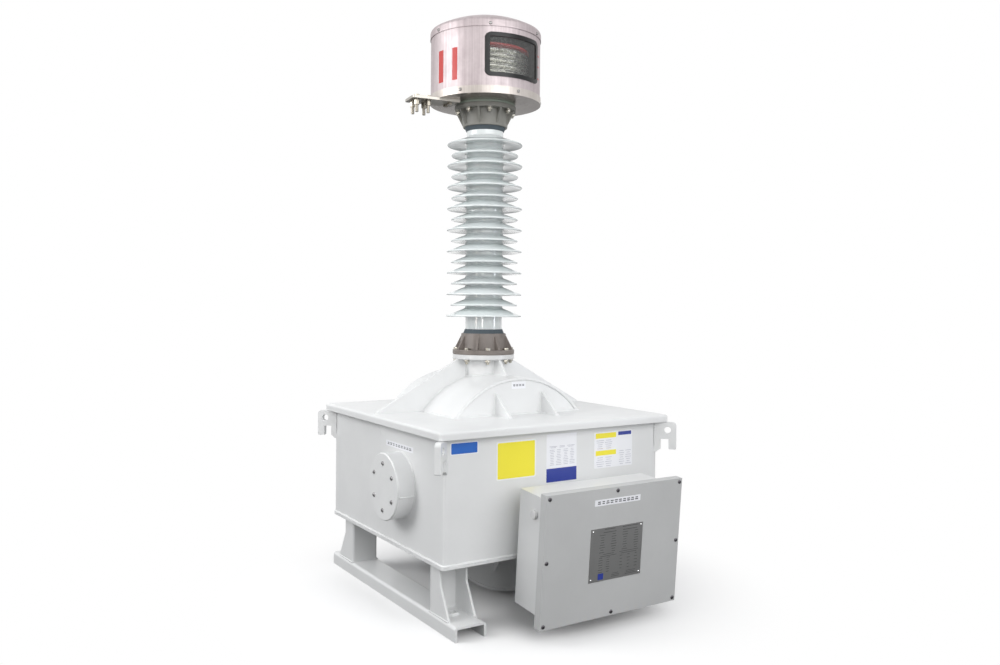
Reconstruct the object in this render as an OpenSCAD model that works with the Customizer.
// Station service voltage transformer: an oil-filled steel tank on skids, one ribbed porcelain insulator
// on a welded dome, and an aluminium expansion head that carries the line terminal.
// Axes: +Z up, +X to the right along the tank front, the tank front faces -Y, Z = 0 is the floor.
// The pieces are laid out from the centre of the tank, and set_down() puts the footprint on the origin.

/* [Skids and pedestals] */
// Length of each skid channel, front to back
skid_len = 990; // [940:5:1040]
// Width over the flanges of a skid channel
skid_w = 113; // [108:1:124]
// Height of a skid channel
skid_h = 46; // [36:1:60]
// Plate thickness of a skid channel
skid_t = 8; // [5:0.5:11]
// Outside corner radius of a skid channel
skid_r = 11; // [11:0.5:15]
// Distance between the centre lines of the two skid channels
skid_spacing = 744; // [736:2:752]
// Height of a pedestal between skid and tank
pedestal_h = 166; // [120:1:220]
// Width over the flanges of a pedestal
pedestal_w = 104; // [96:1:106]
// Plate thickness of a pedestal
pedestal_t = 8; // [5:0.5:12]
// Distance of a pedestal's web from the tank centre
pedestal_y = 314; // [300:1:322]
// Depth of a pedestal's flanges under the tank
pedestal_d = 72; // [56:1:84]
// How far a pedestal's flanges flare out at the foot
pedestal_flare = 54; // [20:1:70]
// Height of the flared part of a pedestal
pedestal_flare_h = 102; // [60:1:116]
// Radius of the four anchor holes
anchor_hole_r = 11; // [8:0.5:13]
// Distance from the front anchor holes to the back ones
anchor_spacing_y = 760; // [750:2:768]
// Outside radius of the washer welded round an anchor hole
anchor_washer_r = 20; // [17:0.5:22]
// Thickness of an anchor washer
anchor_washer_t = 8; // [4:0.5:12]

/* [Tank] */
// Width of the tank across its front
tank_w = 890; // [880:2:904]
// Depth of the tank
tank_d = 890; // [880:2:910]
// Height of the tank walls
wall_h = 420; // [400:2:460]
// Thickness of the tank walls
wall_t = 6; // [4:0.5:9]
// Outside corner radius of the folded walls
wall_r = 10; // [10:0.5:16]
// Thickness of the bottom plate
base_t = 10; // [6:0.5:16]
// How far the bottom plate stands out past the walls
base_ledge = 4; // [1:0.5:8]
// Thickness of the cover plate
cover_t = 8; // [5:0.5:12]
// How far the cover stands out past the walls
cover_overhang = 30; // [22:1:38]
// Height over all of the cover with its turned-down lip
cover_h = 26; // [20:1:34]
// Thickness of the cover's lip
lip_t = 6; // [4:0.5:8]
// Radius of the cover's folded edge
cover_edge_r = 9; // [7:0.5:11]

/* [Lifting lugs] */
// Thickness of a lifting lug
lug_t = 20; // [14:1:26]
// Reach of a lug past the tank's corner, along the diagonal
lug_reach = 71; // [64:1:80]
// Height of a lug's outer leg
lug_h = 98; // [84:1:110]
// Gap between a lug's top and the cover's lip
lug_gap = 2; // [1:0.5:6]
// Radius of the rounded outer corner of a lug
lug_corner_r = 14; // [8:1:18]
// Distance of the sling hole from the tank's corner
lug_hole_out = 40; // [38:1:44]
// Depth of the sling hole below a lug's top
lug_hole_down = 29; // [26:1:32]
// Radius of the sling hole
lug_hole_r = 12.5; // [9:0.5:14]
// Width of the hook slot at a lug's foot
lug_slot_w = 29; // [22:1:32]
// Height of the hook slot
lug_slot_h = 37; // [28:1:42]
// Width of the leg between hook slot and tank
lug_leg_w = 14.5; // [12:0.5:18]
// Drop of the chamfer where the inner leg meets the tank
lug_chamfer = 10; // [4:1:14]

/* [Dome and belly] */
// Outside radius of the rolled barrels above and below the tank
barrel_r = 338; // [326:1:342]
// Plate thickness of the barrels
barrel_t = 8; // [5:0.5:10]
// Length of the barrels, front to back
barrel_len = 510; // [490:2:520]
// How far the barrels and the insulator stand behind the tank's centre
stack_y = 50; // [42:1:58]
// Rise of the dome above the cover
dome_rise = 133; // [124:1:134]
// Drop of the belly below the bottom plate
belly_drop = 200; // [196:1:206]
// Thickness of the end plates that close the barrels
end_t = 8; // [5:0.5:12]
// How far an end plate is set back into its barrel
end_inset = 4; // [2:0.5:8]
// Thickness of the triangular gussets on the end plates
gusset_t = 10; // [6:0.5:14]
// Distance of each end plate gusset from the centre line
gusset_x = 100; // [80:2:120]
// Reach of a dome gusset along the cover
dome_gusset_l = 100; // [80:2:120]
// Height of a dome gusset
dome_gusset_h = 78; // [60:1:90]
// Reach of a belly gusset along the bottom plate
belly_gusset_l = 86; // [70:2:100]
// Height of a belly gusset
belly_gusset_h = 118; // [90:2:130]

/* [Neck] */
// Outside radius of the neck tube
neck_r = 82; // [78:0.5:88]
// Wall of the neck tube
neck_t = 6; // [4:0.5:9]
// Height of the neck between the dome's crown and the flange
neck_h = 56; // [50:1:80]
// Outside radius of the flanges on neck and insulator
flange_r = 119; // [118:0.5:124]
// Thickness of the neck flange
neck_flange_t = 18; // [12:0.5:24]
// Radius of the oil passage through the neck flange
flange_bore_r = 48; // [40:1:54]
// Thickness of the two long web plates beside the neck
web_t = 12; // [8:0.5:16]
// Reach of a web plate's foot from the neck's axis
web_reach = 452; // [430:2:460]
// Height of the blunt edge at a web plate's foot
web_toe = 6; // [3:0.5:12]
// Thickness of the small gussets before and behind the neck
neck_gusset_t = 10; // [6:0.5:14]
// Reach of a small neck gusset along the dome's crown
neck_gusset_l = 166; // [140:2:190]

/* [Insulator] */
// Radius of the porcelain core
core_r = 71.5; // [68:0.5:73]
// Radius of the hollow through the porcelain
porcelain_bore_r = 42; // [36:1:46]
// Number of sheds, large and small taken together
shed_count = 17; // [9:2:21]
// Height from one shed to the next
shed_step = 41.15; // [40:0.05:44]
// Radius of the large sheds
shed_large_r = 146; // [138:1:152]
// Radius of the small sheds
shed_small_r = 130; // [122:1:136]
// Slope of a shed's upper side, in degrees
shed_slope = 20; // [15:0.5:22]
// Slope of a shed's underside, in degrees
shed_under = 7; // [3:0.5:9]
// Radius of a shed's rounded rim
shed_rim_r = 3.5; // [2.5:0.25:4.5]
// Radius of the fillets between shed and core
shed_fillet_r = 8; // [5:0.5:9]
// Length from an end of the porcelain to the nearest shed
shed_margin = 144; // [134:1:160]
// Thickness of the cork ring at each end of the porcelain
gasket_t = 3; // [2:0.25:5]
// Height of a cast fitting
fitting_h = 80; // [70:1:90]
// Thickness of a cast fitting's flange
fitting_flange_t = 18; // [12:0.5:22]
// Outside radius of a cast fitting at its small end
fitting_top_r = 86; // [84:0.5:88]
// Outside radius of a cast fitting's body where it meets the flange
fitting_foot_r = 92; // [90:0.5:94]
// Width of the cement between core and cast fitting
cement_w = 7.5; // [5:0.5:9]
// Height of the cement's sloped collar outside the fitting
cement_collar_h = 16; // [8:1:22]
// Thickness of a cast rib
rib_t = 9; // [6:0.5:12]
// Radius that the cast ribs reach on the flange
rib_reach = 113; // [108:0.5:116]
// Height of a cast rib above the fitting's face
rib_h = 70; // [56:1:74]

/* [Flange bolts] */
// Number of bolts in each flange
flange_bolt_count = 8; // [6:1:8]
// Radius of the bolt circle
bolt_circle_r = 106; // [105:0.25:107]
// Radius of a flange bolt
bolt_r = 6; // [5:0.5:7]
// Clearance between a bolt and its hole, on the radius
bolt_clear = 0.6; // [0.3:0.1:1]
// Width across the flats of a bolt head
bolt_af = 18; // [16:0.5:19]
// Height of a bolt head
bolt_head_h = 8; // [6:0.5:10]
// Height of a flange bolt's nut
bolt_nut_h = 10.5; // [8:0.5:12]
// Length of a flange bolt past its nut
bolt_tail = 7; // [2:0.5:8]

/* [Expansion head] */
// Thickness of the adaptor disc under the head
adaptor_t = 8; // [6:0.5:14]
// How far the adaptor disc is set in from the flange's edge
adaptor_in = 3; // [1:0.5:5]
// Radius of the oil holes through the adaptor disc
adaptor_hole_r = 13; // [8:0.5:14]
// Outside radius of the head's rolled shell
shell_r = 211; // [205:1:220]
// Thickness of the shell
shell_t = 2.5; // [2:0.25:4]
// Height of the shell
shell_h = 259; // [252:1:280]
// Thickness of the floor of the pan under the shell
pan_t = 6; // [4:0.5:10]
// Height of the pan's upturned rim
pan_rim_h = 28; // [22:1:36]
// Sheet thickness of the lid and of the pan's rim
rim_t = 2.5; // [2:0.25:4]
// Clearance between the shell and the rims around it
rim_clear = 0.3; // [0.2:0.1:0.8]
// Radius of the round opening in the pan
pan_bore_r = 60; // [52:1:72]
// Height of the lid's straight skirt
lid_skirt_h = 21; // [18:1:28]
// Radius of the lid's rounded edge
lid_edge_r = 14; // [10:0.5:18]
// Radius of the lid's crown
lid_crown_r = 430; // [380:5:600]
// Number of screws in each rim of the head
head_screw_count = 6; // [4:1:8]
// Turn of the lid's screws about the head's axis, in degrees
lid_screw_turn = -117; // [-125:1:-100]
// Turn of the pan's screws about the head's axis, in degrees
pan_screw_turn = -87; // [-95:1:-80]
// Radius of a head screw's shank
head_screw_r = 3; // [2:0.25:4]
// Radius of a head screw's round head
head_screw_head_r = 6; // [5:0.25:7]
// Length of a head screw's tail inside the shell
head_screw_tail = 4; // [3:0.5:6]
// Turn of the window about the head's axis, in degrees
window_turn = -88.5; // [-95:0.5:-82]
// Width of the window's rubber frame, straight across
window_w = 236; // [210:2:246]
// Height of the window's rubber frame
window_h = 160; // [140:2:170]
// Outside corner radius of the window's rubber frame
window_r = 20; // [16:1:26]
// Width of the rubber frame's face
window_band = 15; // [12:0.5:18]
// How far the rubber frame stands proud of the shell
window_proud = 3.5; // [2:0.25:5]
// Height of the window's centre above the shell's foot
window_up = 136; // [130:1:142]
// Thickness of the window glass
glass_t = 2; // [1.5:0.25:3]

/* [Bellows] */
// Number of capsules in the bellows
capsule_count = 9; // [5:1:10]
// Height of one capsule
capsule_h = 20; // [14:0.5:21]
// Outside radius of the bellows
bellows_r = 165; // [155:1:175]
// Radius of the bellows at its folds
bellows_fold_r = 136; // [128:1:145]
// Thickness of the bellows' sheet
bellows_t = 1.5; // [1:0.25:2.5]
// Thickness of the flange under the bellows
bellows_foot_t = 4; // [3:0.5:6]
// Thickness of the disc that closes the bellows
bellows_disc_t = 9; // [4:0.5:10]

/* [Line terminal] */
// Turn of the terminal pad about the head's axis, in degrees
pad_turn = 173; // [165:1:185]
// Distance from the axis to the inner end of the pad
pad_start = 125; // [122:1:130]
// Distance from the axis to the tip of the pad
pad_reach = 312; // [300:1:330]
// Width of the terminal pad
pad_w = 95; // [84:1:110]
// Thickness of the terminal pad
pad_t = 10; // [8:0.5:14]
// Distance from the tip of the pad to the centre of its bolts
pad_bolt_back = 45; // [40:0.5:50]
// Spacing of the four bolts in the pad, both ways
pad_bolt_pitch = 44.45; // [40:0.05:50]
// Length of a pad bolt below the pad
pad_bolt_l = 47; // [40:1:75]
// Amount by which a pad bolt's plain shank is thinner than its thread
pad_shank_in = 0.3; // [0.2:0.05:0.5]
// Distance from the axis to the screws that hold the pad
pad_fix_out = 157; // [150:1:165]
// Spacing of the screws that hold the pad
pad_fix_pitch = 40; // [36:1:50]
// Radius of the screws that hold the pad
pad_fix_r = 5; // [4:0.5:6]

/* [Pressure relief duct] */
// Place of the duct on the left wall, measured from the tank's centre towards the back
relief_y = -140; // [-180:2:-110]
// Height of the duct's axis above the bottom plate
relief_up = 207; // [190:1:230]
// Outside radius of the duct
relief_r = 112; // [100:1:120]
// Length of the duct
relief_len = 60; // [50:1:68]
// Wall of the duct
relief_wall = 6; // [4:0.5:9]
// Radius of the vent in the duct's front ring
relief_vent_r = 64; // [56:1:68]
// Thickness of the duct's front ring
relief_ring_t = 8; // [6:0.5:12]
// Thickness of the duct's round cover
relief_cover_t = 6; // [4:0.5:8]
// Number of screws in the round cover
relief_screw_count = 6; // [4:1:8]
// Radius of the circle of cover screws
relief_screw_circle = 79; // [77:0.5:88]
// Radius of a cover screw's shank
relief_screw_r = 4; // [3:0.25:5]

/* [Terminal box] */
// Width of the box's cover
box_w = 558; // [540:2:580]
// Height of the box's cover
box_h = 421; // [404:1:432]
// Depth of the cover's turned-back edge
box_cover_d = 30; // [24:1:38]
// Depth from the cover's face to the back of the box
box_d = 176; // [160:1:186]
// Overhang of the cover past the box, on every side
box_overhang = 24; // [20:0.5:28]
// Sheet thickness of box and cover
box_t = 3; // [2:0.25:4]
// Thickness of the rubber between box and cover
box_gasket_t = 3; // [2:0.25:5]
// Place of the box's centre line from the tank's centre
box_x = 50; // [30:2:70]
// Height of the cover's lower edge above the floor
box_z = 50; // [40:1:64]
// Lean of the box, its top further out than its foot, in degrees
box_tilt = 4.6; // [0:0.1:7]
// Gap between the tank's front wall and the top of the box's back
box_gap = 75; // [66:1:90]
// Distance of the cover screws from the cover's edges
box_screw_in = 12; // [10:0.5:14]
// Radius of a cover screw's shank
box_screw_r = 3; // [2:0.25:3.5]
// Radius of a cover screw's head
box_screw_head_r = 6.5; // [5:0.25:7.5]
// Width of the throat between tank and box
throat_w = 300; // [260:2:340]
// Height of the throat
throat_h = 180; // [150:2:190]
// Wall of the throat
throat_t = 6; // [4:0.5:9]
// Height of the throat's centre above the tank's bottom plate
throat_up = 98; // [96:1:104]
// Width of the nameplate
plate_w = 214; // [180:2:230]
// Height of the nameplate
plate_h = 172; // [150:2:190]
// Thickness of the nameplate
plate_t = 1.5; // [1:0.25:2.5]
// Distance of the nameplate's centre to the right of the cover's centre
plate_x = 7; // [-10:1:20]
// Height of the nameplate's centre above the cover's lower edge
plate_z = 207; // [180:1:230]
// Distance of a rivet from the nameplate's edges
rivet_in = 8; // [6:0.5:14]
// Radius of a rivet's head
rivet_r = 3.5; // [2.5:0.25:5]
// Radius of the plug in the box's left side
plug_r = 14; // [10:0.5:18]
// Height of the plug's cap
plug_h = 10; // [6:0.5:14]
// Size of the bevel round the plug's cap
plug_edge = 1.5; // [1:0.25:2.5]
// Height of the plug above the cover's lower edge
plug_z = 336; // [300:1:350]
// Depth of the plug behind the cover's face
plug_d = 89; // [70:1:120]

/* [Secondary terminals] */
// Width of the terminal board
board_w = 340; // [310:2:380]
// Height of the terminal board
board_h = 220; // [200:2:230]
// Thickness of the terminal board
board_t = 12; // [8:0.5:16]
// Number of terminals on the board
terminal_count = 4; // [2:1:4]
// Spacing of the terminals
terminal_pitch = 40; // [36:1:44]
// Radius of a terminal stud
terminal_r = 6; // [5:0.5:8]
// Length of a stud in front of the board
terminal_front = 42; // [34:1:60]
// Length of a stud behind the back of the box
terminal_rear = 24; // [16:1:36]

/* [Core and windings] */
// Width of the core's middle limb
limb_w = 200; // [180:2:212]
// Stack height of the core
stack_h = 240; // [220:2:250]
// Width of the core's outer limbs
side_limb_w = 120; // [100:2:126]
// Width of the core's yokes
yoke_w = 110; // [90:2:120]
// Gap between the windings and the core around them
winding_gap = 10; // [6:1:12]
// Gap between the windings' ends and the barrels' end plates
winding_end_gap = 20; // [17:1:30]
// Half of the width of the primary winding
primary_r = 290; // [280:1:292]
// Height of the windings' straight sides
winding_straight = 130; // [110:2:140]
// Wall of the secondary winding
secondary_t = 42; // [36:1:50]
// Wall of the pressboard barrier between the windings
barrier_t = 8; // [5:0.5:12]
// Clearance between a winding and what it is slipped over
winding_clear = 8; // [5:0.5:10]
// Radius of the line lead
lead_r = 7; // [5:0.5:8]
// Clearance of the line lead in the adaptor disc
lead_clear = 0.3; // [0.2:0.1:0.8]
// Radius of the secondary leads
secondary_lead_r = 6; // [4:0.5:7]
// Distance of the secondary leads' drop from the front wall
lead_drop_in = 44; // [36:1:56]
// Bend radius of the secondary leads, to their centre line
lead_bend_r = 24; // [20:1:30]
// Length by which the sleeves of the straight runs cover the bends
lead_sleeve_l = 3; // [2:0.5:4]
// Width of the line lead's nuts across their flats
lead_nut_af = 22; // [20:1:26]
// Height of the line lead's nuts
lead_nut_h = 6; // [5:0.5:8]
// Height of the line lead's foot on the primary winding
lead_foot_h = 18; // [12:1:24]

/* [Hidden] */
$fn = 96;
EPS = 0.01;
CUT = 1;
DEEP = 2000;
SQRT2 = sqrt(2);
SCREW_CLEAR = 0.15;
THREAD_CLEAR = 0.05;
LEAD_SLEEVE_T = 1;

base_z0 = skid_h + pedestal_h;
base_z1 = base_z0 + base_t;
cover_z0 = base_z1 + wall_h;
cover_z1 = cover_z0 + cover_t;
lip_z = cover_z1 - cover_h;
skid_x = skid_spacing / 2;

dome_cz = cover_z1 + dome_rise - barrel_r;
belly_cz = base_z0 - belly_drop + barrel_r;
barrel_in_r = barrel_r - barrel_t;
crown_z = cover_z1 + dome_rise;
barrel_y0 = stack_y - barrel_len / 2;
barrel_y1 = stack_y + barrel_len / 2;
hollow_len = barrel_len - 2 * (end_inset + end_t);
winding_len = hollow_len - 2 * winding_end_gap;

neck_z1 = crown_z + neck_h;
fitting_z0 = neck_z1 + neck_flange_t;
porcelain_l = 2 * shed_margin + (shed_count - 1) * shed_step;
porcelain_z0 = fitting_z0 + gasket_t;
fitting_z1 = porcelain_z0 + porcelain_l + gasket_t;
fitting_bore_r = core_r + cement_w;
bolt_turn = 180 / flange_bolt_count;

adaptor_r = flange_r - adaptor_in;
rim_in_r = shell_r + rim_clear;
rim_out_r = rim_in_r + rim_t;
pan_z0 = fitting_z1 + adaptor_t;
pan_z1 = pan_z0 + pan_t;
shell_z1 = pan_z1 + shell_h;
lid_curve_r = rim_out_r - lid_edge_r;
lid_crown_drop = sqrt(pow(lid_crown_r - lid_edge_r, 2) - pow(lid_curve_r, 2));
lid_screw_z = shell_z1 - lid_skirt_h * 0.53;
pan_screw_z = pan_z0 + pan_rim_h * 0.55;
window_cz = pan_z1 + window_up;
window_open_w = window_w - window_band;
window_open_h = window_h - window_band;
window_sight_w = window_w - 2 * window_band;
window_sight_h = window_h - 2 * window_band;
gasket_lip = 2.5;
bellows_z0 = pan_z1 + bellows_foot_t;
bellows_z1 = bellows_z0 + capsule_count * capsule_h;
bellows_foot_r = bellows_r + 8;

pad_z0 = pan_z0 - pad_t;
pad_bolt_out = pad_reach - pad_bolt_back;

relief_z = base_z1 + relief_up;
relief_in_r = relief_r - relief_wall;

box_body_w = box_w - 2 * box_overhang;
box_body_h = box_h - 2 * box_overhang;
box_flange = box_overhang - box_t - 2;
box_top_b = box_h - box_overhang;
box_x0 = box_x - box_w / 2;
box_y0 = -tank_d / 2 - box_gap + box_top_b * sin(box_tilt) - box_d * cos(box_tilt);
box_back_c = box_d - box_t;
throat_z = base_z1 + throat_up;
board_b = (throat_z - box_z - box_back_c * sin(box_tilt)) / cos(box_tilt);

stack_cz = (dome_cz + belly_cz) / 2;
secondary_in_w = limb_w + 2 * winding_clear;
secondary_in_h = stack_h + 2 * winding_clear;
barrier_in_w = secondary_in_w + 2 * secondary_t;
barrier_in_h = secondary_in_h + 2 * secondary_t;
primary_in_w = barrier_in_w + 2 * barrier_t;
primary_in_h = barrier_in_h + 2 * barrier_t;
primary_h = winding_straight + 2 * primary_r;
window_x = primary_r + winding_gap;
core_y0 = stack_y - winding_len / 2 - winding_gap - yoke_w;
core_y1 = stack_y + winding_len / 2 + winding_gap + yoke_w;
core_z0 = stack_cz - stack_h / 2;
winding_y0 = stack_y - winding_len / 2;
winding_r = 10;
barrier_r = winding_r + secondary_t;

lug_corner = tank_w / 2 * SQRT2;
lug_z1 = lip_z - lug_gap;
back_reach = (lug_corner + lug_reach + lug_t / 2) / SQRT2;
front_reach = box_h * sin(box_tilt) - box_y0;
tank_y = (front_reach - back_reach) / 2;

// Moves a piece from the tank's centre to its place over the footprint
module set_down() {
    translate([0, tank_y, 0]) children();
}

// Moves a piece from the insulator's axis to its place
module on_stack() {
    set_down() translate([0, stack_y, 0]) children();
}

// Places a piece in the box's own leaning frame: x across, y back from the cover's face, z up
module on_box() {
    set_down() translate([box_x0, box_y0, box_z]) rotate([box_tilt, 0, 0]) children();
}

// Draws children once at each of count places round the Z axis
module round_pattern(count, r, turn = 0) {
    for (i = [0 : count - 1])
        rotate([0, 0, turn + i * 360 / count]) translate([r, 0, 0]) children();
}

module rounded_rect(w, d, r) {
    square([w - 2 * r, d], center = true);
    square([w, d - 2 * r], center = true);
    for (x = [-1, 1], y = [-1, 1])
        translate([x * (w / 2 - r), y * (d / 2 - r)]) circle(r);
}

// Hexagon prism of the given width across flats, standing on Z = 0
module hexagon(af, h) {
    cylinder(r = af / sqrt(3), h = h, $fn = 6);
}

// Extrudes an X-Z outline along +Y from y0
module along_y(y0, len) {
    translate([0, y0 + len, 0]) rotate([90, 0, 0]) linear_extrude(len) children();
}

// Extrudes a Y-Z outline by t, centred on X = 0
module across_x(t) {
    rotate([90, 0, 90]) linear_extrude(t, center = true) children();
}

// Skid channel, a pressed channel lying with its flanges down
module skid_channel() {
    w_in = skid_w - 2 * skid_t;
    r_in = skid_r - skid_t;
    difference() {
        along_y(-skid_len / 2, skid_len) difference() {
            rounded_rect(skid_w, 2 * skid_h, skid_r);
            if (r_in > 1)
                rounded_rect(w_in, 2 * (skid_h - skid_t), r_in);
            else
                square([w_in, 2 * (skid_h - skid_t)], center = true);
            translate([-skid_w, -2 * skid_h]) square([2 * skid_w, 2 * skid_h]);
        }
        for (y = [-1, 1])
            translate([0, y * anchor_spacing_y / 2, 0]) cylinder(r = anchor_hole_r, h = skid_h + CUT);
    }
}

module skid_left() {
    color("gainsboro") set_down() translate([-skid_x, 0, 0]) skid_channel();
}

module skid_right() {
    color("gainsboro") set_down() translate([skid_x, 0, 0]) skid_channel();
}

// Folded U plate between skid and tank, open to +Y, its flanges flared at the foot
module pedestal() {
    foot_d = pedestal_d + pedestal_flare;
    toe_h = 6;
    r = pedestal_t + 3;
    intersection() {
        linear_extrude(pedestal_h) difference() {
            translate([0, foot_d]) rounded_rect(pedestal_w, 2 * foot_d, r);
            translate([0, foot_d])
                rounded_rect(pedestal_w - 2 * pedestal_t, 2 * (foot_d - pedestal_t), r - pedestal_t);
            translate([-pedestal_w, foot_d]) square([2 * pedestal_w, 2 * foot_d]);
        }
        across_x(pedestal_w + CUT) polygon([
            [0, 0], [foot_d, 0], [foot_d, toe_h], [pedestal_d, pedestal_flare_h],
            [pedestal_d, pedestal_h], [0, pedestal_h]
        ]);
    }
}

module pedestals() {
    color("gainsboro") set_down()
        for (x = [-1, 1], y = [0, 1])
            mirror([0, 1 - y, 0]) translate([x * skid_x, pedestal_y, skid_h]) pedestal();
}

module anchor_washers() {
    color("gainsboro") set_down()
        for (x = [-1, 1], y = [-1, 1])
            translate([x * skid_x, y * anchor_spacing_y / 2, skid_h]) difference() {
                cylinder(r = anchor_washer_r, h = anchor_washer_t);
                translate([0, 0, -CUT]) cylinder(r = anchor_hole_r, h = anchor_washer_t + 2 * CUT);
            }
}

// Opening in the bottom plate or the cover, as wide as the barrel's hollow at that level
module barrel_opening(cz, level, h) {
    half = sqrt(pow(barrel_in_r, 2) - pow(level - cz, 2));
    translate([-half, stack_y - hollow_len / 2, -CUT]) cube([2 * half, hollow_len, h + 2 * CUT]);
}

module base_plate() {
    color("gainsboro") set_down() translate([0, 0, base_z0]) difference() {
        linear_extrude(base_t)
            rounded_rect(tank_w + 2 * base_ledge, tank_d + 2 * base_ledge, wall_r + base_ledge);
        barrel_opening(belly_cz, base_z0, base_t);
    }
}

module tank_walls() {
    color("whitesmoke") set_down() difference() {
        translate([0, 0, base_z1]) linear_extrude(wall_h) difference() {
            rounded_rect(tank_w, tank_d, wall_r);
            rounded_rect(tank_w - 2 * wall_t, tank_d - 2 * wall_t, wall_r - wall_t);
        }
        translate([-tank_w / 2 + wall_t + CUT, relief_y, relief_z]) rotate([0, -90, 0])
            cylinder(r = relief_in_r - relief_wall, h = wall_t + 2 * CUT);
        throat_prism(throat_w - 2 * throat_t, throat_h - 2 * throat_t, -tank_d / 2 - CUT,
            wall_t + 2 * CUT);
    }
}

// Cover: a plate with a folded edge and a lip turned down all round
module tank_cover() {
    w = tank_w + 2 * cover_overhang;
    d = tank_d + 2 * cover_overhang;
    r = cover_edge_r;
    color("whitesmoke") set_down() translate([0, 0, lip_z]) difference() {
        union() {
            linear_extrude(cover_h - r) rounded_rect(w, d, r);
            translate([0, 0, cover_h - r]) {
                translate([0, 0, r / 2]) cube([w - 2 * r, d - 2 * r, r], center = true);
                for (s = [-1, 1]) {
                    translate([s * (w / 2 - r), 0, 0]) rotate([90, 0, 0])
                        cylinder(r = r, h = d - 2 * r, center = true);
                    translate([0, s * (d / 2 - r), 0]) rotate([0, 90, 0])
                        cylinder(r = r, h = w - 2 * r, center = true);
                }
                for (x = [-1, 1], y = [-1, 1])
                    translate([x * (w / 2 - r), y * (d / 2 - r), 0]) sphere(r);
            }
        }
        translate([0, 0, -CUT]) linear_extrude(cover_h - cover_t + CUT)
            rounded_rect(w - 2 * lip_t, d - 2 * lip_t, r - lip_t);
        translate([0, 0, -CUT - r]) cube([2 * w, 2 * d, 2 * r], center = true);
        translate([0, 0, cover_h - cover_t]) barrel_opening(dome_cz, cover_z1, cover_t);
    }
}

// Lug outline in the diagonal plane: x out from the tank's corner, y up from the lug's foot
module lug_outline() {
    root = -2 * wall_r;
    slot_r = 5;
    foot_r = 4;
    slot_x0 = lug_leg_w;
    slot_x1 = lug_leg_w + lug_slot_w;
    difference() {
        union() {
            translate([root, 0]) square([lug_leg_w - root, lug_h]);
            translate([root, lug_slot_h]) square([lug_reach - lug_corner_r - root, lug_h - lug_slot_h]);
            translate([slot_x1, foot_r]) square([lug_reach - slot_x1, lug_h - lug_corner_r - foot_r]);
            translate([slot_x1 + foot_r, 0]) square([lug_reach - slot_x1 - 2 * foot_r, foot_r]);
            for (x = [slot_x1 + foot_r, lug_reach - foot_r]) translate([x, foot_r]) circle(foot_r);
            translate([lug_reach - lug_corner_r, lug_h - lug_corner_r]) circle(lug_corner_r);
            polygon([[root, 0], [lug_leg_w - 4, 0], [0, -lug_chamfer], [root, -lug_chamfer]]);
        }
        translate([slot_x0 + slot_r, -CUT]) square([lug_slot_w - 2 * slot_r, lug_slot_h + CUT]);
        translate([slot_x0, -CUT]) square([lug_slot_w, lug_slot_h - slot_r + CUT]);
        for (x = [slot_x0 + slot_r, slot_x1 - slot_r]) translate([x, lug_slot_h - slot_r]) circle(slot_r);
        translate([lug_hole_out, lug_h - lug_hole_down]) circle(lug_hole_r);
    }
}

// One lug on the corner at the given turn about the tank's centre, seated on the rounded corner
module lug(turn) {
    color("whitesmoke") set_down() difference() {
        rotate([0, 0, turn]) translate([lug_corner, 0, lug_z1 - lug_h])
            rotate([90, 0, 0]) linear_extrude(lug_t, center = true) lug_outline();
        translate([0, 0, base_z0]) linear_extrude(DEEP) rounded_rect(tank_w, tank_d, wall_r);
    }
}

module lug_front_left() { lug(-135); }
module lug_front_right() { lug(-45); }
module lug_back_left() { lug(135); }
module lug_back_right() { lug(45); }

// Part of a disc of radius r about [0, cz] that lies above the level, or below it
module arch_2d(r, cz, level, up) {
    difference() {
        translate([0, cz]) circle(r, $fn = 180);
        translate([-DEEP, up ? level - 2 * DEEP : level]) square([2 * DEEP, 2 * DEEP]);
    }
}

// Rolled barrel: the arch's skin along Y
module barrel(cz, level, up) {
    along_y(barrel_y0, barrel_len) difference() {
        arch_2d(barrel_r, cz, level, up);
        translate([0, cz]) circle(barrel_in_r, $fn = 180);
    }
}

module dome_shell() {
    color("whitesmoke") set_down() difference() {
        barrel(dome_cz, cover_z1, true);
        translate([0, stack_y, dome_cz]) cylinder(r = neck_r - neck_t, h = barrel_r + CUT);
    }
}

// Two plates that close a barrel's ends, set back into it
module end_plates(cz, level, up) {
    for (y = [barrel_y0 + end_inset, barrel_y1 - end_inset - end_t])
        along_y(y, end_t) arch_2d(barrel_in_r, cz, level, up);
}

module dome_end_plates() {
    color("whitesmoke") set_down() end_plates(dome_cz, cover_z1, true);
}

// Triangular gussets before and behind both end plates of a barrel
module end_gussets(len, h) {
    toe = 5;
    for (m = [0, 1], x = [-1, 1])
        translate([x * gusset_x, stack_y, 0]) mirror([0, m, 0])
            translate([0, end_inset - barrel_len / 2, 0]) across_x(gusset_t)
                polygon([[0, 0], [-len, 0], [-len, toe], [-toe, h], [0, h]]);
}

module dome_gussets() {
    color("whitesmoke") set_down() translate([0, 0, cover_z1]) end_gussets(dome_gusset_l, dome_gusset_h);
}

module belly_shell() {
    color("gainsboro") set_down() barrel(belly_cz, base_z0, false);
}

module belly_end_plates() {
    color("gainsboro") set_down() end_plates(belly_cz, base_z0, false);
}

module belly_gussets() {
    color("gainsboro") set_down() translate([0, 0, base_z0]) mirror([0, 0, 1])
        end_gussets(belly_gusset_l, belly_gusset_h);
}

// Space filled by the dome's barrel, grown by nothing, to seat what stands on it
module dome_body() {
    along_y(-DEEP, 2 * DEEP) translate([0, dome_cz]) circle(barrel_r, $fn = 180);
}

module neck_tube() {
    color("whitesmoke") on_stack() difference() {
        translate([0, 0, dome_cz]) cylinder(r = neck_r, h = neck_z1 - dome_cz);
        translate([0, 0, dome_cz - CUT]) cylinder(r = neck_r - neck_t, h = DEEP);
        dome_body();
    }
}

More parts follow.
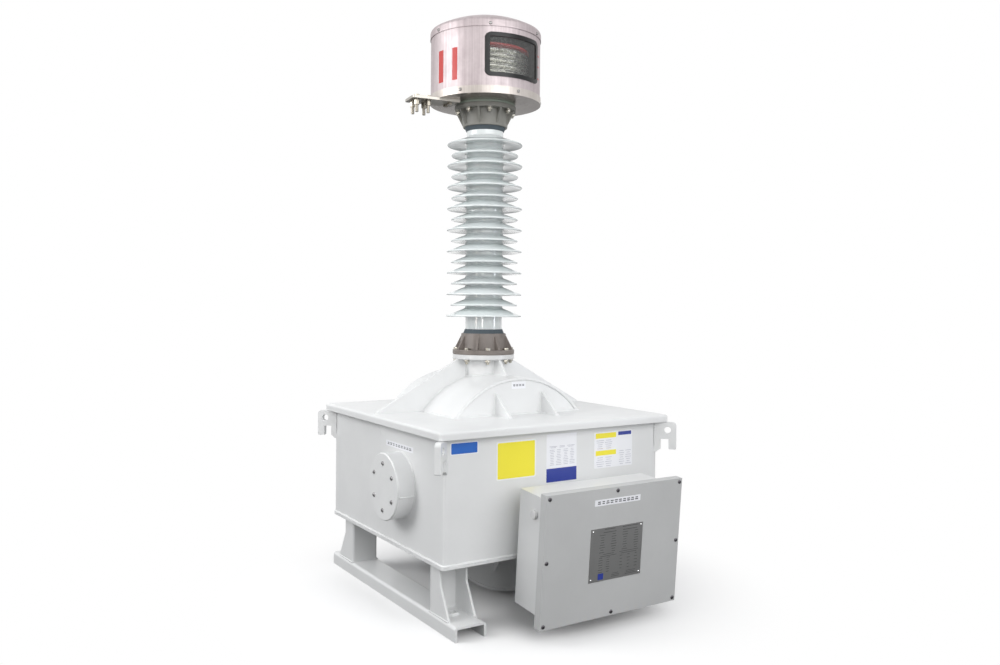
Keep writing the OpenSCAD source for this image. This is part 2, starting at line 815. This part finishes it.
module bolt_holes(z, h) {
    translate([0, 0, z]) round_pattern(flange_bolt_count, bolt_circle_r, bolt_turn)
        cylinder(r = bolt_r + bolt_clear, h = h);
}

module neck_flange() {
    edge = 2;
    color("white") on_stack() difference() {
        translate([0, 0, neck_z1]) rotate_extrude() polygon([
            [flange_bore_r, 0], [flange_r - edge, 0], [flange_r, edge],
            [flange_r, neck_flange_t - edge], [flange_r - edge, neck_flange_t],
            [flange_bore_r, neck_flange_t]
        ]);
        bolt_holes(neck_z1 - CUT, neck_flange_t + 2 * CUT);
    }
}

// Long plates from the neck down to the cover, left and right, cut to the barrel's curve
module neck_webs() {
    color("whitesmoke") on_stack() for (m = [0, 1]) mirror([m, 0, 0]) difference() {
        along_y(-web_t / 2, web_t) difference() {
            polygon([
                [0, cover_z1], [web_reach, cover_z1], [web_reach, cover_z1 + web_toe],
                [flange_r, neck_z1], [0, neck_z1]
            ]);
            translate([0, dome_cz]) circle(barrel_r, $fn = 180);
        }
        cylinder(r = neck_r, h = DEEP);
    }
}

module neck_gussets() {
    toe = 4;
    color("whitesmoke") on_stack() for (m = [0, 1]) mirror([0, m, 0]) difference() {
        across_x(neck_gusset_t) polygon([
            [0, dome_cz], [neck_gusset_l, dome_cz], [neck_gusset_l, crown_z + toe],
            [flange_r, neck_z1], [0, neck_z1]
        ]);
        dome_body();
        cylinder(r = neck_r, h = DEEP);
    }
}

// Turns a piece built up from Z = 0 to point out of the left wall
module on_relief(out = 0) {
    set_down() translate([-tank_w / 2 - out, relief_y, relief_z]) rotate([0, -90, 0]) children();
}

module relief_holes(r, z, h) {
    translate([0, 0, z]) round_pattern(relief_screw_count, relief_screw_circle, 90 + 30)
        cylinder(r = r, h = h);
}

module relief_duct() {
    color("whitesmoke") on_relief() difference() {
        cylinder(r = relief_r, h = relief_len);
        translate([0, 0, -CUT]) cylinder(r = relief_in_r, h = relief_len - relief_ring_t + CUT);
        translate([0, 0, -CUT]) cylinder(r = relief_vent_r, h = relief_len + 2 * CUT);
        relief_holes(relief_screw_r + THREAD_CLEAR, relief_len - relief_ring_t - CUT,
            relief_ring_t + 2 * CUT);
    }
}

module relief_cover() {
    edge = 1.5;
    color("white") on_relief(relief_len) difference() {
        rotate_extrude() polygon([
            [0, 0], [relief_r, 0], [relief_r, relief_cover_t - edge],
            [relief_r - edge, relief_cover_t], [0, relief_cover_t]
        ]);
        relief_holes(relief_screw_r + SCREW_CLEAR, -CUT, relief_cover_t + 2 * CUT);
    }
}

// Round-headed screw pointing down, its head standing on Z = 0
module round_screw(r, head_r, len) {
    head_h = head_r * 0.6;
    cap_r = (pow(head_r, 2) + pow(head_h, 2)) / (2 * head_h);
    translate([0, 0, -len]) cylinder(r = r, h = len + EPS);
    intersection() {
        translate([0, 0, head_h - cap_r]) sphere(cap_r);
        cylinder(r = head_r, h = head_h);
    }
}

module relief_screws() {
    color("silver") on_relief(relief_len + relief_cover_t)
        round_pattern(relief_screw_count, relief_screw_circle, 90 + 30)
            round_screw(relief_screw_r, relief_screw_r * 1.8, relief_cover_t + relief_ring_t - 1);
}

// Rectangular prism along Y at the throat's place, in the tank's frame
module throat_prism(w, h, y0, len) {
    translate([box_x - w / 2, y0, throat_z - h / 2]) cube([w, len, h]);
}

// Short duct from the front wall to the leaning back of the box
module box_throat() {
    reach = box_gap + box_h * sin(box_tilt);
    color("whitesmoke") difference() {
        set_down() difference() {
            throat_prism(throat_w, throat_h, -tank_d / 2 - reach, reach);
            throat_prism(throat_w - 2 * throat_t, throat_h - 2 * throat_t, -tank_d / 2 - reach - CUT,
                reach + 2 * CUT);
        }
        on_box() translate([-DEEP / 2, -DEEP + box_d, -DEEP / 2]) cube([2 * DEEP, DEEP, 2 * DEEP]);
    }
}

// Block in the box's frame: w by h about the middle of the cover, from depth c, of thickness t
module box_block(w, h, c, t) {
    translate([box_w / 2 - w / 2, c, box_h / 2 - h / 2]) cube([w, t, h]);
}

// Places of the eight cover screws
module cover_screw_places() {
    for (i = [0 : 2], j = [0 : 2])
        if (i != 1 || j != 1)
            translate([box_screw_in + i * (box_w - 2 * box_screw_in) / 2, 0,
                box_screw_in + j * (box_h - 2 * box_screw_in) / 2]) children();
}

module box_body() {
    front = box_t + box_gasket_t;
    color("whitesmoke") difference() {
        on_box() difference() {
            union() {
                box_block(box_body_w, box_body_h, front, box_d - front);
                box_block(box_body_w + 2 * box_flange, box_body_h + 2 * box_flange, front, box_t);
            }
            box_block(box_body_w - 2 * box_t, box_body_h - 2 * box_t, 0, box_back_c);
            cover_screw_places() rotate([-90, 0, 0]) cylinder(r = box_screw_r + THREAD_CLEAR, h = box_d);
            translate([box_overhang - CUT, plug_d, plug_z]) rotate([0, 90, 0])
                cylinder(r = plug_r * 0.7, h = box_t + 2 * CUT);
        }
        set_down() throat_prism(throat_w - 2 * throat_t, throat_h - 2 * throat_t,
            -tank_d / 2 - DEEP / 2, DEEP);
    }
}

module box_gasket() {
    color("dimgray") on_box() difference() {
        box_block(box_body_w + 2 * box_flange, box_body_h + 2 * box_flange, box_t, box_gasket_t);
        box_block(box_body_w - 2 * box_t, box_body_h - 2 * box_t, 0, box_d);
        cover_screw_places() rotate([-90, 0, 0]) cylinder(r = box_screw_r + SCREW_CLEAR, h = box_d);
    }
}

module box_cover() {
    color("gainsboro") on_box() difference() {
        box_block(box_w, box_h, 0, box_cover_d);
        box_block(box_w - 2 * box_t, box_h - 2 * box_t, box_t, box_cover_d);
        cover_screw_places() translate([0, -CUT, 0]) rotate([-90, 0, 0])
            cylinder(r = box_screw_r + SCREW_CLEAR, h = box_t + 2 * CUT);
    }
}

module box_screws() {
    color("dimgray") on_box() cover_screw_places() rotate([90, 0, 0])
        round_screw(box_screw_r, box_screw_head_r, 2 * box_t + box_gasket_t + 4);
}

// Places of the four rivets in the nameplate
module rivet_places() {
    for (x = [-1, 1], z = [-1, 1])
        translate([box_w / 2 + plate_x + x * (plate_w / 2 - rivet_in), 0,
            plate_z + z * (plate_h / 2 - rivet_in)]) children();
}

module nameplate() {
    color("dimgray") on_box() difference() {
        translate([box_w / 2 + plate_x - plate_w / 2, -plate_t, plate_z - plate_h / 2])
            cube([plate_w, plate_t, plate_h]);
        rivet_places() translate([0, -DEEP / 2, 0]) rotate([-90, 0, 0])
            cylinder(r = rivet_r / 2 + SCREW_CLEAR, h = DEEP);
    }
}

module nameplate_rivets() {
    color("silver") on_box() rivet_places() translate([0, -plate_t, 0]) rotate([90, 0, 0])
        round_screw(rivet_r / 2, rivet_r, plate_t);
}

module box_plug() {
    color("whitesmoke") on_box() translate([box_overhang, plug_d, plug_z]) rotate([0, -90, 0]) {
        translate([0, 0, -box_t]) cylinder(r = plug_r * 0.7 - THREAD_CLEAR, h = box_t + EPS);
        cylinder(r = plug_r, h = plug_h - plug_edge);
        translate([0, 0, plug_h - plug_edge - EPS])
            cylinder(r1 = plug_r, r2 = plug_r - plug_edge, h = plug_edge + EPS);
    }
}

// Places of the terminals, on the board's front face, pointing to the front
module terminal_places() {
    for (i = [0 : terminal_count - 1])
        translate([box_w / 2 + (i - (terminal_count - 1) / 2) * terminal_pitch,
            box_back_c - board_t, board_b]) children();
}

module terminal_board() {
    color("saddlebrown") on_box() difference() {
        translate([box_w / 2 - board_w / 2, box_back_c - board_t, board_b - board_h / 2])
            cube([board_w, board_t, board_h]);
        terminal_places() translate([0, -CUT, 0]) rotate([-90, 0, 0])
            cylinder(r = terminal_r + SCREW_CLEAR, h = board_t + 2 * CUT);
    }
}

module terminal_studs() {
    color("gold") on_box() terminal_places() {
        translate([0, -terminal_front, 0]) rotate([-90, 0, 0])
            cylinder(r = terminal_r, h = terminal_front + board_t + box_t + terminal_rear);
        translate([0, -bolt_head_h, 0]) rotate([-90, 0, 0]) hexagon(bolt_af, bolt_head_h);
    }
}

// Half outline of one shed: from the core below it, round the rim, to the core above it
function shed_points(z, r) =
    let (
        f = shed_fillet_r,
        q = shed_rim_r,
        top_z = z + q * cos(shed_slope),
        top_r = r - q + q * sin(shed_slope),
        low_z = z - q * cos(shed_under),
        low_r = r - q - q * sin(shed_under),
        rise = f * tan(45 - shed_slope / 2),
        fall = f * tan(45 - shed_under / 2),
        top_root = top_z + (top_r - core_r) * tan(shed_slope),
        low_root = low_z + (low_r - core_r) * tan(shed_under)
    )
    concat(
        [for (i = [0 : 3]) let (a = 180 - i * (90 - shed_under) / 3)
            [core_r + f + f * cos(a), low_root - fall + f * sin(a)]],
        [for (i = [0 : 5]) let (a = -90 - shed_under + i * (180 + shed_under - shed_slope) / 5)
            [r - q + q * cos(a), z + q * sin(a)]],
        [for (i = [0 : 3]) let (a = -90 - shed_slope - i * (90 - shed_slope) / 3)
            [core_r + f + f * cos(a), top_root + rise + f * sin(a)]]
    );

// Hollow porcelain body, its sheds large and small in turn
module porcelain() {
    sheds = [for (i = [0 : shed_count - 1])
        each shed_points(shed_margin + i * shed_step, i % 2 == 0 ? shed_large_r : shed_small_r)];
    color("lightgray") on_stack() translate([0, 0, porcelain_z0]) rotate_extrude() polygon(concat(
        [[porcelain_bore_r, 0], [core_r, 0]], sheds,
        [[core_r, porcelain_l], [porcelain_bore_r, porcelain_l]]
    ));
}

module porcelain_gaskets() {
    color("peru") on_stack() for (z = [fitting_z0, fitting_z1 - gasket_t])
        translate([0, 0, z]) difference() {
            cylinder(r = core_r, h = gasket_t);
            translate([0, 0, -CUT]) cylinder(r = flange_bore_r, h = gasket_t + 2 * CUT);
        }
}

// Cement between porcelain and fitting, built up from the fitting's face
module cement_collar() {
    z0 = gasket_t + 2;
    rotate_extrude() polygon([
        [core_r, z0], [fitting_bore_r, z0], [fitting_bore_r, fitting_h],
        [core_r + cement_w * 0.8, fitting_h + cement_collar_h * 0.2],
        [core_r + 1, fitting_h + cement_collar_h], [core_r, fitting_h + cement_collar_h]
    ]);
}

module cement_collars() {
    color("slategray") on_stack() {
        translate([0, 0, fitting_z0]) cement_collar();
        translate([0, 0, fitting_z1]) mirror([0, 0, 1]) cement_collar();
    }
}

// Cast iron fitting standing on its flange, with a rib between each two bolts
module fitting() {
    t = fitting_flange_t;
    edge = 2;
    difference() {
        union() {
            rotate_extrude() polygon([
                [fitting_bore_r, 0], [flange_r - edge, 0], [flange_r, edge], [flange_r, t - edge],
                [flange_r - edge, t], [fitting_foot_r + 3, t], [fitting_foot_r, t + 4],
                [fitting_top_r, fitting_h - edge], [fitting_top_r - edge, fitting_h],
                [fitting_bore_r, fitting_h]
            ]);
            round_pattern(flange_bolt_count, 0) rotate([90, 0, 0]) linear_extrude(rib_t, center = true)
                polygon([
                    [fitting_bore_r + 2, t / 2], [rib_reach, t / 2], [rib_reach, t + 5],
                    [fitting_top_r + 3, rib_h], [fitting_bore_r + 2, rib_h]
                ]);
        }
        bolt_holes(-CUT, t + 2 * CUT);
    }
}

module lower_fitting() {
    color("rosybrown") on_stack() translate([0, 0, fitting_z0]) fitting();
}

module upper_fitting() {
    color("gray") on_stack() translate([0, 0, fitting_z1]) mirror([0, 0, 1]) fitting();
}

// Bolt with its head on Z = 0 pointing down through a grip, and its nut below
module flange_bolt(grip) {
    len = grip + bolt_nut_h + bolt_tail;
    hexagon(bolt_af, bolt_head_h);
    translate([0, 0, -len]) cylinder(r = bolt_r, h = len + EPS);
    translate([0, 0, -grip - bolt_nut_h]) hexagon(bolt_af, bolt_nut_h);
}

module lower_bolts() {
    color("lightgray") on_stack() translate([0, 0, fitting_z0 + fitting_flange_t])
        round_pattern(flange_bolt_count, bolt_circle_r, bolt_turn)
            flange_bolt(fitting_flange_t + neck_flange_t);
}

module upper_bolts() {
    color("lightgray") on_stack() translate([0, 0, pan_z1])
        round_pattern(flange_bolt_count, bolt_circle_r, bolt_turn)
            flange_bolt(fitting_flange_t + adaptor_t + pan_t);
}

// Disc that carries the head on the upper fitting, with oil holes round the line lead
module head_adaptor() {
    color("darkseagreen") on_stack() difference() {
        translate([0, 0, fitting_z1]) cylinder(r = adaptor_r, h = adaptor_t);
        bolt_holes(fitting_z1 - CUT, adaptor_t + 2 * CUT);
        translate([0, 0, fitting_z1 - CUT]) {
            cylinder(r = lead_r + lead_clear, h = adaptor_t + 2 * CUT);
            round_pattern(4, porcelain_bore_r - adaptor_hole_r, 45)
                cylinder(r = adaptor_hole_r, h = adaptor_t + 2 * CUT);
        }
    }
}

// Radial holes for the screws of a rim, at height z
module rim_screw_holes(z, turn) {
    translate([0, 0, z]) round_pattern(head_screw_count, shell_r - 20, turn)
        rotate([0, 90, 0]) cylinder(r = head_screw_r + SCREW_CLEAR, h = 40);
}

// Places along and across the pad's centre line
module pad_places(out, pitch_along, pitch_across) {
    rotate([0, 0, pad_turn])
        for (i = pitch_along > 0 ? [-1, 1] : [0], j = [-1, 1])
            translate([out + i * pitch_along / 2, j * pitch_across / 2, 0]) children();
}

module head_pan() {
    color("silver") on_stack() difference() {
        translate([0, 0, pan_z0]) cylinder(r = rim_out_r, h = pan_rim_h);
        translate([0, 0, pan_z1]) cylinder(r = rim_in_r, h = pan_rim_h);
        translate([0, 0, pan_z0 - CUT]) cylinder(r = pan_bore_r, h = pan_t + 2 * CUT);
        bolt_holes(pan_z0 - CUT, pan_t + 2 * CUT);
        rim_screw_holes(pan_screw_z, pan_screw_turn);
        translate([0, 0, pan_z0 - CUT]) pad_places(pad_fix_out, 0, pad_fix_pitch)
            cylinder(r = pad_fix_r + bolt_clear, h = pan_t + 2 * CUT);
    }
}

// Rounded rectangle standing in the window's plane and pushed out along its axis
module window_prism(w, h, r) {
    rotate([0, 0, window_turn]) translate([0, 0, window_cz]) rotate([90, 0, 90])
        linear_extrude(2 * shell_r) rounded_rect(w, h, r);
}

module head_shell() {
    color("silver") on_stack() difference() {
        translate([0, 0, pan_z1]) cylinder(r = shell_r, h = shell_h);
        translate([0, 0, pan_z1 - CUT]) cylinder(r = shell_r - shell_t, h = shell_h + 2 * CUT);
        window_prism(window_open_w, window_open_h, window_r - window_band / 2);
        rim_screw_holes(lid_screw_z, lid_screw_turn);
        rim_screw_holes(pan_screw_z, pan_screw_turn);
    }
}

// Round block with a rounded edge and a crown above Z = 0, smaller all round by the inset
module crowned_block(skirt, inset) {
    edge_r = lid_edge_r - inset;
    crown_r = lid_crown_r - inset;
    translate([0, 0, -skirt]) cylinder(r = lid_curve_r + edge_r, h = skirt);
    rotate_extrude() intersection() {
        translate([lid_curve_r, 0]) circle(edge_r);
        square([lid_curve_r + edge_r, edge_r]);
    }
    intersection() {
        translate([0, 0, -lid_crown_drop]) sphere(crown_r);
        cylinder(r = lid_curve_r * crown_r / (lid_crown_r - lid_edge_r), h = crown_r);
    }
}

// Lid pressed from one sheet, its skirt outside the shell
module head_lid() {
    color("silver") on_stack() difference() {
        translate([0, 0, shell_z1]) crowned_block(lid_skirt_h, 0);
        translate([0, 0, shell_z1]) crowned_block(lid_skirt_h + CUT, rim_t);
        rim_screw_holes(lid_screw_z, lid_screw_turn);
    }
}

module head_screws() {
    len = rim_t + rim_clear + shell_t + head_screw_tail;
    color("lightgray") on_stack()
        for (s = [[lid_screw_z, lid_screw_turn], [pan_screw_z, pan_screw_turn]])
            translate([0, 0, s[0]]) round_pattern(head_screw_count, rim_out_r, s[1])
                rotate([0, 90, 0]) round_screw(head_screw_r, head_screw_head_r, len);
}

// Ring between two radii at the window's height
module window_ring(r0, r1) {
    translate([0, 0, window_cz - window_h]) difference() {
        cylinder(r = r1, h = 2 * window_h);
        translate([0, 0, -CUT]) cylinder(r = r0, h = 2 * window_h + 2 * CUT);
    }
}

// Rubber frame that grips the shell's edge outside and the glass inside
module window_gasket() {
    r0 = shell_r - shell_t - gasket_lip;
    glass_r1 = shell_r - (shell_t - glass_t) / 2;
    color("dimgray") on_stack() difference() {
        intersection() {
            window_ring(r0, shell_r + window_proud);
            difference() {
                window_prism(window_w, window_h, window_r);
                window_prism(window_sight_w, window_sight_h, window_r - window_band);
            }
        }
        difference() {
            window_ring(shell_r - shell_t, shell_r);
            window_prism(window_open_w, window_open_h, window_r - window_band / 2);
        }
        intersection() {
            window_ring(glass_r1 - glass_t, glass_r1);
            glass_prism();
        }
    }
}

module glass_prism() {
    lap = window_band * 0.6;
    window_prism(window_sight_w + lap, window_sight_h + lap, window_r - window_band + lap / 2);
}

module window_glass() {
    glass_r1 = shell_r - (shell_t - glass_t) / 2;
    color("lightblue", 0.4) on_stack() intersection() {
        window_ring(glass_r1 - glass_t, glass_r1);
        glass_prism();
    }
}

// Outline of one capsule of the bellows, drawn in by the given amount
function capsule_points(z, inset) = [
    [bellows_fold_r - inset, z],
    [bellows_r - 6 - inset, z + capsule_h * 0.3],
    [bellows_r - inset, z + capsule_h * 0.5],
    [bellows_r - 6 - inset, z + capsule_h * 0.7]
];

module bellows() {
    up = [for (i = [0 : capsule_count - 1]) each capsule_points(i * capsule_h, 0)];
    down = [for (i = [0 : capsule_count - 1]) each capsule_points(i * capsule_h, bellows_t)];
    top = capsule_count * capsule_h;
    color("silver") on_stack() {
        translate([0, 0, bellows_z0]) rotate_extrude() polygon(concat(
            up, [[bellows_fold_r, top], [bellows_fold_r - bellows_t, top]],
            [for (i = [len(down) - 1 : -1 : 0]) down[i]]
        ));
        translate([0, 0, pan_z1]) difference() {
            cylinder(r = bellows_foot_r, h = bellows_foot_t);
            translate([0, 0, -CUT])
                cylinder(r = bellows_fold_r - bellows_t, h = bellows_foot_t + 2 * CUT);
            translate([0, 0, -CUT]) pad_places(pad_fix_out, 0, pad_fix_pitch)
                cylinder(r = bolt_af * 0.6, h = bellows_foot_t + 2 * CUT);
        }
    }
}

module bellows_disc() {
    color("firebrick") on_stack() translate([0, 0, bellows_z1])
        cylinder(r = bellows_r + 3, h = bellows_disc_t);
}

module terminal_pad() {
    tip_r = 8;
    color("silver") on_stack() difference() {
        rotate([0, 0, pad_turn]) translate([0, 0, pad_z0]) linear_extrude(pad_t) {
            translate([pad_start, -pad_w / 2]) square([pad_reach - tip_r - pad_start, pad_w]);
            translate([pad_reach - tip_r - EPS, -pad_w / 2 + tip_r])
                square([tip_r + EPS, pad_w - 2 * tip_r]);
            for (j = [-1, 1]) translate([pad_reach - tip_r, j * (pad_w / 2 - tip_r)]) circle(tip_r);
        }
        translate([0, 0, pad_z0 - CUT]) {
            pad_places(pad_bolt_out, pad_bolt_pitch, pad_bolt_pitch)
                cylinder(r = bolt_r + bolt_clear, h = pad_t + 2 * CUT);
            pad_places(pad_fix_out, 0, pad_fix_pitch)
                cylinder(r = pad_fix_r + bolt_clear, h = pad_t + 2 * CUT);
        }
    }
}

// Four connector bolts hanging through the pad, and the two screws that hold the pad to the pan
module pad_bolts() {
    fix_h = 4;
    fix_l = pad_t + pan_t + 2;
    color("lightgray") on_stack() {
        translate([0, 0, pan_z0]) pad_places(pad_bolt_out, pad_bolt_pitch, pad_bolt_pitch) {
            hexagon(bolt_af, bolt_head_h);
            translate([0, 0, -pad_t - CUT]) cylinder(r = bolt_r - pad_shank_in, h = pad_t + CUT + EPS);
            translate([0, 0, -pad_t - pad_bolt_l]) cylinder(r = bolt_r, h = pad_bolt_l - CUT);
            translate([0, 0, -pad_t - 2.5]) cylinder(r = bolt_af * 0.6, h = 2.5);
            for (k = [1, 2]) translate([0, 0, -pad_t - 2.5 - k * (bolt_head_h + 1)])
                hexagon(bolt_af, bolt_head_h + 1);
        }
        translate([0, 0, pad_z0]) pad_places(pad_fix_out, 0, pad_fix_pitch) {
            translate([0, 0, -bolt_head_h]) hexagon(bolt_af, bolt_head_h);
            translate([0, 0, -EPS]) cylinder(r = pad_fix_r, h = fix_l);
            translate([0, 0, pad_t + pan_t]) hexagon(bolt_af - 1, fix_h);
        }
    }
}

// Stack of laminations with three limbs, lying flat
module core() {
    color("slategray") set_down() translate([0, 0, core_z0]) linear_extrude(stack_h) difference() {
        translate([-window_x - side_limb_w, core_y0])
            square([2 * (window_x + side_limb_w), core_y1 - core_y0]);
        for (m = [0, 1]) mirror([m, 0])
            translate([limb_w / 2, core_y0 + yoke_w])
                square([window_x - limb_w / 2, core_y1 - core_y0 - 2 * yoke_w]);
    }
}

// Channels on the bottom plate that carry the core's yokes
module core_feet() {
    h = core_z0 - base_z1;
    d = yoke_w - 30;
    t = 8;
    len = 2 * (window_x + side_limb_w) - 60;
    color("dimgray") set_down() translate([0, stack_y, base_z1]) for (m = [0, 1]) mirror([0, m, 0])
        translate([-len / 2, barrel_len / 2 + 4, 0]) difference() {
            cube([len, d, h]);
            translate([-CUT, t, t]) cube([len + 2 * CUT, d, h - 2 * t]);
        }
}

// Ring along Y between two outlines about the windings' centre
module winding_block(len = winding_len) {
    translate([0, 0, stack_cz]) along_y(stack_y - len / 2, len) children();
}

module secondary_winding() {
    color("peru") set_down() winding_block() difference() {
        rounded_rect(barrier_in_w, barrier_in_h, barrier_r);
        rounded_rect(secondary_in_w, secondary_in_h, winding_r);
    }
}

module winding_barrier() {
    color("tan") set_down() winding_block() difference() {
        rounded_rect(primary_in_w, primary_in_h, barrier_r + barrier_t);
        rounded_rect(barrier_in_w, barrier_in_h, barrier_r);
    }
}

module primary_winding() {
    color("sienna") set_down() winding_block() difference() {
        rounded_rect(2 * primary_r, primary_h, primary_r - 1);
        rounded_rect(primary_in_w, primary_in_h, barrier_r + barrier_t);
    }
}

// Lead from the primary winding up through the insulator to the adaptor disc
module line_lead() {
    top = stack_cz + primary_h / 2;
    color("darkorange") on_stack() {
        translate([0, 0, top]) cylinder(r = lead_nut_af, h = lead_foot_h);
        translate([0, 0, top]) cylinder(r = lead_r, h = pan_z0 + 2 * lead_nut_h - top);
        translate([0, 0, pan_z0]) hexagon(lead_nut_af, lead_nut_h);
        translate([0, 0, fitting_z1 - lead_nut_h]) hexagon(lead_nut_af, lead_nut_h);
    }
}

// Leads from the secondary winding over the front yoke, down and through the throat to the studs
module secondary_leads() {
    r = lead_bend_r;
    exit_z = stack_cz + secondary_in_h / 2 + secondary_t / 2;
    drop_y = -tank_d / 2 + lead_drop_in;
    end_c = box_d + terminal_rear;
    end_y = box_y0 - board_b * sin(box_tilt) + end_c * cos(box_tilt);
    end_z = box_z + board_b * cos(box_tilt) + end_c * sin(box_tilt);
    turn_y = drop_y - r + r * sin(box_tilt);
    turn_z = end_z + (turn_y - end_y) * tan(box_tilt);
    low_z = turn_z + r * cos(box_tilt);
    color("darkorange") set_down() for (i = [0 : terminal_count - 1])
        translate([box_x + (i - (terminal_count - 1) / 2) * terminal_pitch, 0, 0]) {
            along_y(drop_y + r - lead_sleeve_l, winding_y0 - drop_y - r + lead_sleeve_l)
                translate([0, exit_z]) circle(secondary_lead_r);
            translate([0, drop_y + r, exit_z - r]) lead_bend(90, 90);
            translate([0, drop_y, low_z - lead_sleeve_l])
                cylinder(r = secondary_lead_r, h = exit_z - r - low_z + 2 * lead_sleeve_l);
            translate([0, drop_y - r, low_z]) lead_bend(box_tilt - 90, 90 - box_tilt);
            translate([0, end_y, end_z]) rotate([box_tilt - 90, 0, 0])
                cylinder(r = secondary_lead_r, h = (turn_y - end_y) / cos(box_tilt) + lead_sleeve_l);
        }
}

// Bend of a lead in the Y-Z plane about the X axis, swept by angle from the start direction
module lead_bend(start, angle) {
    rotate([90, 0, 90]) rotate([0, 0, start]) rotate_extrude(angle = angle)
        translate([lead_bend_r, 0]) circle(secondary_lead_r - LEAD_SLEEVE_T);
}

skid_left();
skid_right();
pedestals();
anchor_washers();
base_plate();
tank_walls();
tank_cover();
lug_front_left();
lug_front_right();
lug_back_left();
lug_back_right();
dome_shell();
dome_end_plates();
dome_gussets();
belly_shell();
belly_end_plates();
belly_gussets();
neck_tube();
neck_flange();
neck_webs();
neck_gussets();
relief_duct();
relief_cover();
relief_screws();
box_throat();
box_body();
box_gasket();
box_cover();
box_screws();
nameplate();
nameplate_rivets();
box_plug();
terminal_board();
terminal_studs();
porcelain();
porcelain_gaskets();
cement_collars();
lower_fitting();
upper_fitting();
lower_bolts();
upper_bolts();
head_adaptor();
head_pan();
head_shell();
head_lid();
head_screws();
window_gasket();
window_glass();
bellows();
bellows_disc();
terminal_pad();
pad_bolts();
core();
core_feet();
secondary_winding();
winding_barrier();
primary_winding();
line_lead();
secondary_leads();
